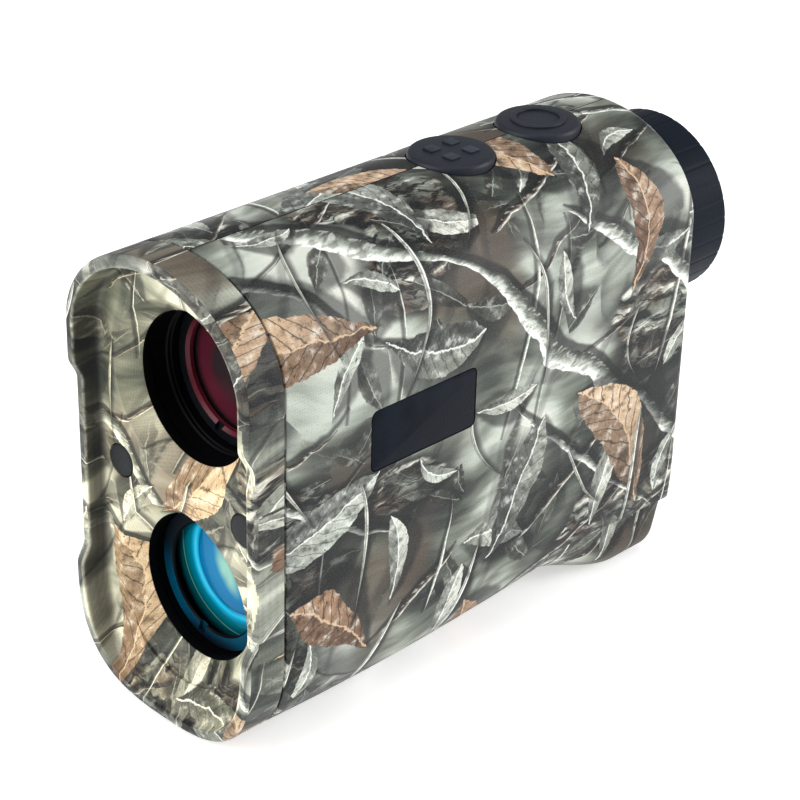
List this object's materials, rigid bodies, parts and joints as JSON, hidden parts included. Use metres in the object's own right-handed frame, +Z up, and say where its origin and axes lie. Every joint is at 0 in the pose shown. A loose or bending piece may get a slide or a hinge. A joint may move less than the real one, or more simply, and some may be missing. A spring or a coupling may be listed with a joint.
{
  "type": "laser rangefinder",
  "caption": "Handheld laser rangefinder with a slab housing, hooded lens ports in the front bezel, push buttons on top, a turning eyepiece and a sliding battery door underneath.",
  "frame": {"origin": "bottom centre of the overall box: on the surface it stands on, halfway along its length, on the mid plane between the two half shells", "axes": "-Y is the way it looks, +Y is the eyepiece end, +X is the side to the user's left, +Z is up towards the buttons"},
  "size_m": [0.041, 0.1124, 0.0797],
  "materials": {
    "printed_housing": "satin moulded plastic with a dipped woodland print",
    "dark_plastic": "fine grained blue-black plastic",
    "rubber": "matt blue-black rubber",
    "anodised": "black anodised, satin",
    "steel": "plain",
    "circuit_board": "solder mask",
    "red_glass": "red anti-reflection coating",
    "blue_glass": "blue anti-reflection coating",
    "clear_glass": "polished"
  },
  "bodies": {
    "housing": {"left_shell": "printed_housing", "right_shell": "printed_housing", "front_bezel": "printed_housing", "side_plate": "dark_plastic", "bezel_plug_left": "rubber", "bezel_plug_right": "rubber", "bezel_screw_left": "steel", "bezel_screw_right": "steel", "objective_cell": "anodised", "objective_lens": "red_glass", "objective_retaining_ring": "anodised", "receiver_cell": "anodised", "receiver_lens": "blue_glass", "receiver_retaining_ring": "anodised", "front_bulkhead": "dark_plastic", "rear_bulkhead": "dark_plastic", "prism_holder": "dark_plastic", "half_prism": "clear_glass", "roof_prism": "clear_glass", "laser_module": "steel", "reticle_display": "clear_glass", "main_board": "circuit_board", "detector_board": "circuit_board", "detector": "steel", "switch_board": "circuit_board", "mode_switch": "dark_plastic", "power_switch": "dark_plastic", "eyepiece_barrel": "anodised", "battery": "steel", "battery_tray": "dark_plastic", "battery_spring": "steel", "battery_contact": "steel"},
    "mode_key": {"mode_button": "rubber"},
    "power_key": {"power_button": "rubber"},
    "eyepiece": {"diopter_ring": "dark_plastic", "eyecup": "rubber"},
    "ocular": {"ocular_cell": "anodised", "ocular_lens": "clear_glass", "field_lens": "clear_glass"},
    "door": {"battery_door": "printed_housing"}
  },
  "joints": [
    {"name": "mode_press", "type": "slide", "parent": "housing", "child": "mode_key", "axis": [0, 0, -1], "range_m": [0, 0.0008], "stiffness_N_per_m": 900, "springref_m": -0.001},
    {"name": "power_press", "type": "slide", "parent": "housing", "child": "power_key", "axis": [0, 0, -1], "range_m": [0, 0.0008], "stiffness_N_per_m": 900, "springref_m": -0.001},
    {"name": "diopter_turn", "type": "hinge", "parent": "housing", "child": "eyepiece", "pos_m": [0, 0.04293, 0.0564], "axis": [0, 1, 0], "range_deg": [-120, 120]},
    {"name": "ocular_focus", "type": "slide", "parent": "housing", "child": "ocular", "axis": [0, 1, 0], "range_m": [-0.00146, 0.00146]},
    {"name": "door_slide", "type": "slide", "parent": "housing", "child": "door", "axis": [0, 1, 0], "range_m": [0, 0.032]}
  ],
  "couplings": [
    {"joint": "diopter_turn", "follows": "ocular_focus", "rad_per_m": 1428}
  ]
}
